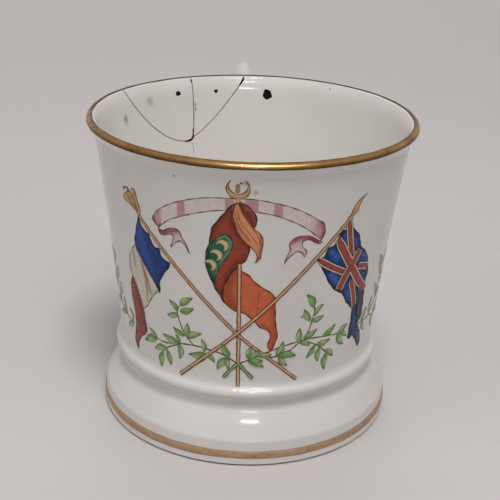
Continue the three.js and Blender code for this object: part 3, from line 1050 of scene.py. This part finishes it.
TAILS = (
    ("-26.5,65.7 -25.2,65.5 -23.4,66.4 -21.6,67 -20.3,66.4 -19.6,64.8 | -18.5,62.9 -17.6,60.4 | "
     "-18.6,62.3 -19.4,63.3 -20.2,63.7 | -21.4,62.9 -23.1,61.1 | -22.5,62.8 -22,64.3 -22.6,65 -23.8,64.6 | "
     "-25,64.2 -26.2,64.6 -26.5,65.7",
     0.75, "-26,65.2 -23,65.8 -21,66.4", 0.9, "-26,64.8 -24,65", 0.5),
    ("15.6,64.9 13,66.5 10.4,66.9 8.4,66.2 7.6,64.8 7.9,63.2 | 7.2,61.4 6.6,59.1 | 7.4,60.6 8.6,61.8 "
     "9.9,62.6 | 11,62 11.8,60.6 | 12.3,62.2 11.6,63.2 10.9,64.2 11,65.5 | 12.6,65.6 14.4,64.6 15.8,64 "
     "16.3,64.7 15.6,64.9",
     0.7, "8,65.6 10.4,66.4 13,66 15,65", 0.85, "12.4,66 15.4,64.7", 0.45),
)
for outline, white, shade, width, crease, crease_width in TAILS:
    touches = ((shade, width, CRIMSON, 0.9), (crease, crease_width, WINE, 0.7))
    paint = brushed(lerp(PINK, IVORY, white), *touches)
    ribbon.outlined(outline, paint, lerp(INK, CRIMSON, 0.3), 1, 0.3, 0.22)
ribbon.make("enamel_ribbon")

# Flag on the left staff: three upright fields

left_flag = Enamel()
white_field = (
    "-36,58.3 -38,56 -39.5,53.8 -40.1,51.5 -40,49.3 -39.2,47.4 | -37.8,45 -36.4,42 -35.3,38.8 | -33,41 "
    "-31,44 -28.2,47 | -30.6,50.3 -34.6,55.4 -36,58.3")
left_flag.outlined(white_field, brushed(
    LINEN, ("-34,53.5 -32.6,49.5 -31.4,45", 0.65, FAWN, 0.85),
    ("-33.4,50.5 -33,46 -33.2,42", 0.5, FAWN, 0.75), ("-37.2,55.5 -37.2,51.5", 0.6, ASH, 0.7),
    ("-39.8,53 -39.8,49", 0.45, ASH, 0.9)
), lerp(INK, FAWN, 0.3), 0, 0.32, 0.22)
for fold in ("-35.2,55 -33.4,51 -31.6,46.4", "-33.6,51.6 -32.9,47 -32.6,43.6",
             "-37.3,56 -37.4,53.4 -36.9,51.2"):
    left_flag.stroke(fold, 0.22, lerp(INK, FAWN, 0.5), 1, (0.3, 0.2), 0.3)
red_field = (
    "-39.3,47.7 -38,46 -36.5,42.5 -35.4,38.8 -34.9,35 -34.5,32.3 | -35.6,30.9 -37.6,29.3 -39.2,27.3 "
    "-40.2,24.3 | -40.9,24.6 -41.7,26.5 -41.2,28.8 -40.5,31 -40,34 -40.3,38 -40.9,42 -40.4,45.5 -39.3,47.7")
left_flag.outlined(red_field, brushed(
    RED, ("-38.6,46 -37.2,41.5 -36.2,37 -35.2,32.5", 0.6, OXBLOOD, 0.75),
    ("-38.6,44 -38.2,38 -37.6,32", 0.8, OXBLOOD, 0.35), ("-40.1,33 -40.9,29", 0.5, OXBLOOD, 0.5),
    ("-40.9,26 -40.4,24.3", 0.9, BLACK, 0.95)
), INK, 1, 0.32)
blue_field = (
    "-33.1,67.3 -32.7,65 -31.2,63.4 -30,63.3 | -29.7,61.6 -28.4,59.8 -26.8,59.7 | -26.5,58 -25.3,56.7 "
    "-23.7,56.4 | -24,55.3 -25.4,53.4 -26.9,51.2 -27.8,49.2 -27.7,47.6 | -27.9,46.2 -28.6,47.6 | "
    "-30.6,50.5 -33,53.6 -34.8,55.8 -36,57.8 | -36,59.5 -35.2,62 -34.1,65.1 -33.1,67.3")
left_flag.outlined(blue_field, brushed(
    BLUE, ("-24.2,55.6 -26.5,51.8 -27.8,49", 0.5, NAVY, 0.85),
    ("-33.6,63 -32.4,58 -29.6,53", 1.3, SKY, 0.35), ("-30,63 -30.4,58 -28.6,52", 0.9, NAVY, 0.3),
    ("-26.6,59 -28.5,55", 0.9, NAVY, 0.3), ("-28.2,48.2 -27.9,46.6", 0.9, BLACK, 0.95)
), NAVY, 2, 0.32, 0.3)
left_flag.make("enamel_flag_left")

# Flag on the middle staff: a red field drawn up in folds, an oval with crescents and an orange lower part

middle_flag = Enamel()
orange_part = (
    "-5.4,59.6 -8.2,56.5 -9.3,53 -9.6,50 -8.5,47.6 | -6.5,45.7 -4.3,44.9 -2.6,44.3 | -1.2,43 0,41.9 "
    "1.4,40.3 3.2,39.6 4.1,38.7 | 4.2,37 3.7,35 4,33.5 4.8,33.3 5.8,35.5 6.2,38.3 5.6,41 5.2,45 5,49.3 | "
    "4,50.6 2,52 0.9,52.8 | -0.6,54 -2,55.8 | -3.4,56.8 -4.5,57.6 -5.4,59.6")
middle_flag.outlined(orange_part, brushed(
    ORANGE, ("-5,58.5 -7.2,55.5 -7.9,50.5 -6.5,47", 1.9, RUST, 0.85),
    ("4.6,49.4 4.7,44 5.4,39 5,34.5", 0.8, RUST, 0.6), ("1.6,41.2 3.8,40", 0.6, RUST, 0.6),
    ("-7.6,48 -4.5,45.6 -1.5,43.8", 0.5, RUST, 0.5)
), MAROON)
middle_flag.stroke("0.8,52.4 0.4,48 0.2,42.6", 0.35, lerp(ORANGE, RUST, 0.6), 1, (0.5, 0.3), 0.3)
red_part = (
    "-5.2,76.9 -7.2,75.1 -9.6,71.8 -11.5,68.9 -12.2,65 -12.6,60 -12,55 -11.3,52.2 -10,50 -8.6,47.5 | "
    "-8.9,50 -8.4,52.9 -6.7,56.3 -5,58.8 | -3.3,60.2 -2.4,62.6 -2.6,64.8 -4.1,68 -4.6,72 -5.2,76.9")
middle_flag.outlined(red_part, brushed(
    BRICK, ("-6.6,74.5 -6.6,71 -5.2,67.5 -2.9,65", 0.8, MAROON, 0.8),
    ("-5.2,59.5 -7.6,56 -8.9,51 -8.7,48", 0.7, MAROON, 0.75), ("-9.8,50.6 -11.2,53.5", 0.7, MAROON, 0.5),
    ("-3.4,62 -4.6,60", 0.7, MAROON, 0.45), ("-6.6,75.2 -10.5,70.2 -11.8,66", 0.6, MAROON, 0.6)
), INK, 1, 0.34, 0.3)
lobe = "-5,76.9 -3,75.6 -1.5,73.9 -0.8,72 -1,70.1 -1.7,69.7 | -3.4,71.6 -4.5,73.9 -5,76.9"
middle_flag.outlined(lobe, brushed(BRICK, ("-4.4,75.4 -2.8,73.2 -1.6,70.2", 0.6, MAROON, 0.6)), INK, 1, 0.3)
tail = (
    "-5.3,76.7 -6.1,75.2 -6.5,73 -5.8,70 -4.9,67.6 -3.4,65.5 -2.1,64.2 -0.8,62.6 -0.3,61.1 -0.9,59.6 | "
    "-0.2,60 0.1,61.2 | 0.5,60.8 0.7,63.3 | 1,65.8 0.3,67.8 -1.2,69.3 -2.9,71.5 -4.4,74.1 -5.3,76.7")
middle_flag.outlined(tail, brushed(
    PEACH, ("-5.9,73.5 -5,69.6 -2.6,66", 0.5, TAN, 0.5), ("0.4,67 0.6,64 0.2,61.6", 0.4, TAN, 0.75)
), lerp(INK, TAN, 0.35), 2, 0.28, 0.2)
for fold in ("-5.4,75.4 -4.8,71.6 -2.4,68 -0.2,64.6 0.1,61.8", "-5.9,72.6 -4.6,69 -1.8,65.6",
             "-2.2,70.2 -0.4,67.4 0.4,64.6"):
    middle_flag.stroke(fold, 0.18, TAN, 3, (0.3, 0.2), 0.3)
oval = (
    "-8.5,67.4 -7.4,67.1 -6.5,65.8 -6.5,64 -7.2,62 -8.4,60 -9.7,58 -10.7,54.9 -11.3,52.5 | -12.3,54.6 "
    "-13.2,57.2 -13.4,59.6 -13.2,61.8 -12.5,63.9 -11.3,65.2 -9.9,66.6 -8.5,67.4")
middle_flag.outlined(oval, brushed(
    GREEN, ("-12.6,62.5 -13.2,58.5 -12.2,54", 0.7, PINE, 0.8),
    ("-10.4,66 -8.3,67 -6.9,65.4 -7.1,63 -9,60 -10.6,56", 0.35, SAGE, 0.75),
    ("-11.8,53.8 -11.4,52.6", 0.7, BLACK, 0.9)
), PINE, 2, 0.3, 0.2)


def crescent(work, centre, radius, bite, offset, facing, tone, edge, layer, width):
    """A crescent between a circle and a smaller one, which is set off towards the side that it opens to."""
    reach = (radius ** 2 + offset ** 2 - bite ** 2) / (2 * offset)
    wide = math.degrees(math.acos(reach / radius))
    inner_wide = math.degrees(math.acos((reach - offset) / bite))
    inner_centre = on_circle(centre, offset, facing)
    outer = arc(centre, radius, facing + wide, facing + 360 - wide, 22)
    inner = arc(inner_centre, bite, facing + 360 - inner_wide, facing + inner_wide, 18)
    work.outlined(np.vstack((outer, inner[1:-1])), tone, edge, layer, 0.3, width)


for place, facing in (((-9.0, 64.2), 225), ((-10.6, 61.3), 220), ((-12.1, 58.2), 215)):
    crescent(middle_flag, place, 1.6, 1.2, 1.0, facing, CREAM, lerp(PINE, CREAM, 0.3), 3, 0.12)
middle_flag.make("enamel_flag_middle")

# Flag on the right staff: a cross over a saltire, both red with white edges, on a blue field

right_flag = Enamel()
cloth = curve(
    "23.8,69.4 25.3,66.9 27.1,65.3 28.6,63.5 29.9,60.2 | 32.2,58.2 34,56 34.7,53.6 | 35.6,51.4 35.7,49.6 "
    "35.1,48.6 | 35.3,46.6 35.8,44.1 | 36.2,41 36.3,38.2 35.8,36 34.6,34.8 | 36.1,33.3 37.8,30.5 38.5,27.6 "
    "37.6,26.3 | 35.8,28.9 33.3,31.8 | 32.1,31.2 30.8,31.7 | 31,34.4 31.1,37.3 30.8,41.1 | 28.1,43.5 "
    "26.6,45.6 25.4,47.4 | 23.3,48.5 21.5,50.1 19.9,52.2 17.9,55.8 | 16.7,57.5 15.6,59.4 | 17.6,60 "
    "18.1,61.5 18.5,62.4 | 20.2,62.7 20.8,64 21.3,64.9 | 21.5,65.9 22.2,66.5 23.2,66.6 | 23.8,69.4")
SALTIRE = ("23.9,68.8 25,64.5 26.7,58.4", "16.2,59.1 20.1,56.5 24.6,54",
           "30.2,54.2 32.7,53.6 34.9,52.9", "28.2,50.4 29.9,46.5 31.6,41.6")
CROSS = ("21.1,64.4 23.6,60.4 27.2,55.2 31.2,49.9 35.3,45.5",
         "29.8,59.4 27.2,55.2 25.1,51.7 23.9,48.8")
beside_arms = [(line, 1.5, NAVY, 0.75) for line in SALTIRE + CROSS + (closed(cloth),)]
right_flag.outlined(cloth, brushed(
    BLUE, *beside_arms, ("19.6,61 21.8,58.8", 0.9, SKY, 0.9), ("20.6,54 22.6,51.6", 0.9, SKY, 0.85),
    ("31.6,57.6 33.4,55.8", 0.7, SKY, 0.75), ("27.4,63.2 28,61.4", 0.6, SKY, 0.6),
    ("23.2,65.2 23.8,63.6", 0.5, SKY, 0.6), ("27.2,47.4 28.6,44.6", 0.7, SKY, 0.6),
    ("31.2,40 31.4,36 31,32.4", 0.6, NAVY, 0.7), ("33.4,37 32.4,34", 0.6, SKY, 0.6),
    ("36.4,31.4 37.2,29", 0.5, SKY, 0.6), ("34.4,35 33,33.6 31.4,32.6", 0.6, NAVY, 0.8),
    ("36.6,28.4 38,26.8", 0.7, BLACK, 0.8)
), NAVY, 0, 0.34, 0.3)
for layer, lines, red in ((1, SALTIRE, 1.4), (5, CROSS, 2.0)):
    for rise, (margin, tone) in enumerate(((0.95, NAVY), (0.62, LINEN), (0.0, OXBLOOD), (-0.3, RED))):
        for line in lines:
            right_flag.stroke(line, red + margin, tone, layer + rise, (0.6, 1.0))
hanging = (
    "31.1,46.6 31.7,47.2 33.2,45.9 34.9,44.5 | 35.9,42.2 36.3,38.4 35.9,36.2 34.6,35.1 | 33.9,37 33,41 "
    "31.9,44.4 31.1,46.6")
right_flag.outlined(hanging, brushed(SLATE, ("33,44 34.2,40 34.8,36.6", 0.5, BLUE, 0.5)), NAVY, 9)
right_flag.make("enamel_flag_right")

# Staffs and their finials

staffs = Enamel()


def staff(points, layer, width, lean):
    """A gilt staff: a dark line, a lighter core that leans to one side of it, and a thin light on that."""
    path = curve(points, step=0.3)
    for rise, (share, tone) in enumerate(((1.0, UMBER), (0.5, STAFF), (0.16, STRAW))):
        staffs.stroke(path + sideways(path) * lean * rise, width * share, tone, layer + rise, swell=0.08)


staff("-4.7,59.2 -4.6,46 -4.5,34 -4.4,21.8", 4, 1.2, 0.04)
staff("-32.8,67.4 -19,52.8 -5,38.3 4,30.8 13,23.2", 7, 1.0, 0.05)
staff("24,69.8 15.3,60 5,48.5 -5,38.3 -13.5,30.6 -22.2,22.7", 10, 1.1, -0.07)
finial = (
    "-32.9,67.2 -33.8,68.4 -35.3,69.6 -37.9,70.4 -38.6,71.2 | -37.8,72.5 -36.4,73.3 -35.6,73.3 | "
    "-34.8,74.6 -34,74.8 -33.5,74.2 -33.1,72.5 -32.7,70.7 -32.3,68.8 -32.9,67.2")
staffs.outlined(finial, brushed(GILT, ("-34.8,73 -34,70 -33,68", 0.4, BRONZE, 0.5)), BRONZE, 5, 0.32, 0.24)
for flute in ("-33.2,68.2 -34.6,70.6 -36.4,72.6", "-33,68.6 -33.7,71.2 -34.2,74",
              "-34,69.2 -36,70.8 -37.8,71.4", "-33.2,69.4 -34.6,71.8 -35.4,73.2",
              "-34.6,69.6 -36.2,71.6 -37.2,72.5"):
    staffs.stroke(flute, 0.26, BRONZE, 6, (0.5, 0.4), 0.4)
staffs.stroke(
    "-36.7,72.9 -36.1,73.9 -37,74.4 -38.1,73.8 -38,73.2", 0.5, lerp(BRONZE, INK, 0.4), 6, (0.7, 0.4))
crescent(staffs, (-5.3, 80.2), 2.75, 2.2, 0.75, 90, GILT, BRONZE, 3, 0.24)
for place, radius in (((-5.4, 79.8), 0.55), ((-5.35, 81.0), 0.48)):
    staffs.outlined(blot(place, radius, place[1]), lerp(GILT, BRONZE, 0.25), BRONZE, 3, 0.2, 0.14)
staffs.stroke("-4.9,82 -4.4,81.6", 0.4, INK, 4, (0.4, 0.8))
staffs.stroke("-5.3,76.4 -5.3,77.8", 1.0, BRONZE, 4)
staffs.stroke("-5.3,76.5 -5.3,77.7", 0.7, GILT, 5)
spear = (
    "28.5,75.9 26.9,74.2 26.5,72.8 26.4,71.5 | 25.3,70.7 24.3,69.7 | 23.8,70.2 24.3,71.5 | 24.5,72.5 "
    "25.1,73.4 26.5,74.8 28.5,75.9")
staffs.outlined(spear, brushed(
    GILT, ("28.2,75.6 26.2,73 24.4,70.6", 0.25, BRONZE, 0.6)
), BRONZE, 5, 0.3, 0.2)
staffs.stroke("23.2,70.3 24.7,69.2", 0.75, BRONZE, 13)
staffs.stroke("23.4,70.15 24.5,69.35", 0.4, GILT, 14)
staffs.make("enamel_staffs")

# Iron spots, smudges and cement stains

inner_marks = Enamel(inner=True)
IRON_SPOTS = (
    ((148.6, 83.1), 0.78, 1), ((136.4, 82.9), 0.58, 2), ((120.7, 82.0), 1.46, 3), ((101.5, 85.8), 0.2, 4),
)
for place, radius, seed in IRON_SPOTS:
    spot = brushed(BLACK, ((place, place + point(0.2, 0)), radius * 0.5, linear("#24261f"), 0.8))
    inner_marks.fill(blot(place, radius, seed), spot)
for place, radius, stretch, strength in (((159.0, 82.2), 1.4, 1.2, 0.3), ((170.5, 79.1), 1.3, 1.6, 0.6)):
    grey = ((place, place + point(0.1, 0.4)), radius * 0.5, linear("#5a554e"), strength)
    inner_marks.fill(blot(place, radius, 4, stretch), brushed(LIT_BARE_INSIDE, grey), 0, 0.3)
inner_marks.stroke("147.6,68 145.9,68.1 144.9,68.6 144.4,69.5 144.2,72", 0.55, BLACK, 1, (0.2, 0.3), 0.25)
inner_marks.stroke("127.9,86.7 128.5,85.6 129.6,84", 0.5, BLACK, 1, (0.9, 0.2), 0.2)
inner_marks.stroke("143.9,86.8 143.7,85.6", 0.4, BLACK, 1, (1.0, 0.3))
inner_marks.stroke(
    "143.8,81.5 143.7,78.5 143.8,75.5 144,72.5", 0.2, lerp(INK, LIT_BARE_INSIDE, 0.1), 0, (0.3, 0.6), 0.5)
inner_marks.stroke(
    "143.2,80 143.1,78.4 143.1,77", 0.5, lerp(linear("#8a5f42"), LIT_BARE_INSIDE, 0.45), 0, (0.2, 0.2), 0.5)
inner_marks.stroke("144.8,67.6 144.5,65.5 144.4,63.5", 0.16, lerp(INK, LIT_BARE_INSIDE, 0.4), 1, (0.6, 0.1))
inner_marks.make("stains_inside", STAIN)

outer_marks = Enamel()
OUTER_SPOTS = (
    ((12.9, 42.7), 0.5, "#8a6a55"), ((-20.6, 81.7), 0.35, "#6e6862"), ((40.1, 7.4), 0.24, "#3c3c48"),
    ((18.1, 84.4), 0.26, "#4a443e"), ((19.0, 84.4), 0.2, "#4a443e"), ((-3.6, 81.9), 0.8, "#b79bb5"),
    ((-1.3, 79.4), 0.7, "#b9a3b8"),
)
for place, radius, code in OUTER_SPOTS:
    spot = brushed(BARE, ((place, place + point(0.1, 0)), radius * 0.6, linear(code), 0.8))
    outer_marks.fill(blot(place, radius, place[0]), spot, 0, 0.2)
outer_marks.make("stains_outside", STAIN)

# Floor, light and camera

FLOOR_REACH = 8.0
FLOOR_DROP = 1e-4
floor_mesh = bpy.data.meshes.new("floor")
corners = ((-1, -1), (1, -1), (1, 1), (-1, 1))
floor_points = [(x * FLOOR_REACH, y * FLOOR_REACH, -FLOOR_DROP) for x, y in corners]
floor_mesh.from_pydata(floor_points, [], [(0, 1, 2, 3)])
floor_mesh.materials.append(floor_material())
floor = bpy.data.objects.new("floor", floor_mesh)
bpy.context.scene.collection.objects.link(floor)

# Lamps in metres and watts: name, place, power, width, and height where it is a panel
LAMP_TARGET = Vector((0.0, 0.0, 0.04))
LAMPS = (
    ("key", (0.10, -0.60, 1.40), 10.2, 0.45),
    ("front", (0.20, -1.00, 1.10), 2.7, 0.45),
    ("top", (0.0, 0.10, 1.60), 3.4, 1.4),
    ("left", (-1.25, -0.48, 0.85), 5.0, 1.2),
    ("right", (0.98, -0.42, 1.10), 2.4, 1.0),
    ("back", (0.0, 1.3, 0.9), 5.0, 1.2),
    ("window", (0.04, -1.10, 0.78), 1.0, 0.28, 0.025),
    ("sill", (0.05, -1.10, 0.36), 0.8, 0.28, 0.03),
    ("strip", (0.07, -0.75, 1.06), 9.0, 0.55, 0.06),
)


def add_light(name, place, power, width, height=None):
    """A lamp that faces the mug: a soft disc with no mirror image of it, or a panel with nothing else."""
    lamp = bpy.data.lights.new(name, "AREA")
    lamp.shape = "RECTANGLE" if height else "DISK"
    lamp.size = width
    if height:
        lamp.size_y = height
    lamp.energy = power
    made = bpy.data.objects.new(name, lamp)
    made.location = place
    made.rotation_euler = (LAMP_TARGET - Vector(place)).to_track_quat("-Z", "Y").to_euler()
    made.visible_glossy = bool(height)
    made.visible_diffuse = not height
    bpy.context.scene.collection.objects.link(made)


for lamp in LAMPS:
    add_light(*lamp)

# Pale surroundings for what the camera and the gloss see, and little light from them on the mug
world = bpy.data.worlds.new("studio")
world.use_nodes = True
sky = Nodes(world.node_tree)
background = sky.tree.nodes["Background"].inputs
strengths = (LIGHT_FROM_SURROUNDINGS, SURROUNDINGS_STRENGTH)
sky.feed(background["Color"], SURROUNDINGS)
sky.feed(background["Strength"], sky.between(sky.rays_that_show_surroundings(), 0.0, 1.0, *strengths))
bpy.context.scene.world = world

CAMERA_PLACE = np.array((-17.3, -282.9, 165.0))
CAMERA_HEADING = 3.57
CAMERA_PITCH = 22.77
CAMERA_ROLL = 1.92
CLOSEST_SEEN = 0.01
FOCAL_PIXELS = 1048.8
PICTURE_PIXELS = 500
SENSOR = 36.0

heading, pitch, roll = (math.radians(a) for a in (CAMERA_HEADING, CAMERA_PITCH, CAMERA_ROLL))
camera_data = bpy.data.cameras.new("camera")
camera_data.sensor_width = SENSOR
camera_data.lens = FOCAL_PIXELS / PICTURE_PIXELS * SENSOR
camera_data.clip_start = CLOSEST_SEEN
camera = bpy.data.objects.new("camera", camera_data)
pose = Matrix.Translation(AXIS + CAMERA_PLACE * MM)
for angle, axis in ((-heading, "Z"), (math.pi / 2 - pitch, "X"), (roll, "Z")):
    pose @= Matrix.Rotation(angle, 4, axis)
camera.matrix_world = pose
bpy.context.scene.collection.objects.link(camera)
bpy.context.scene.camera = camera

bpy.context.scene.view_settings.view_transform = "Standard"
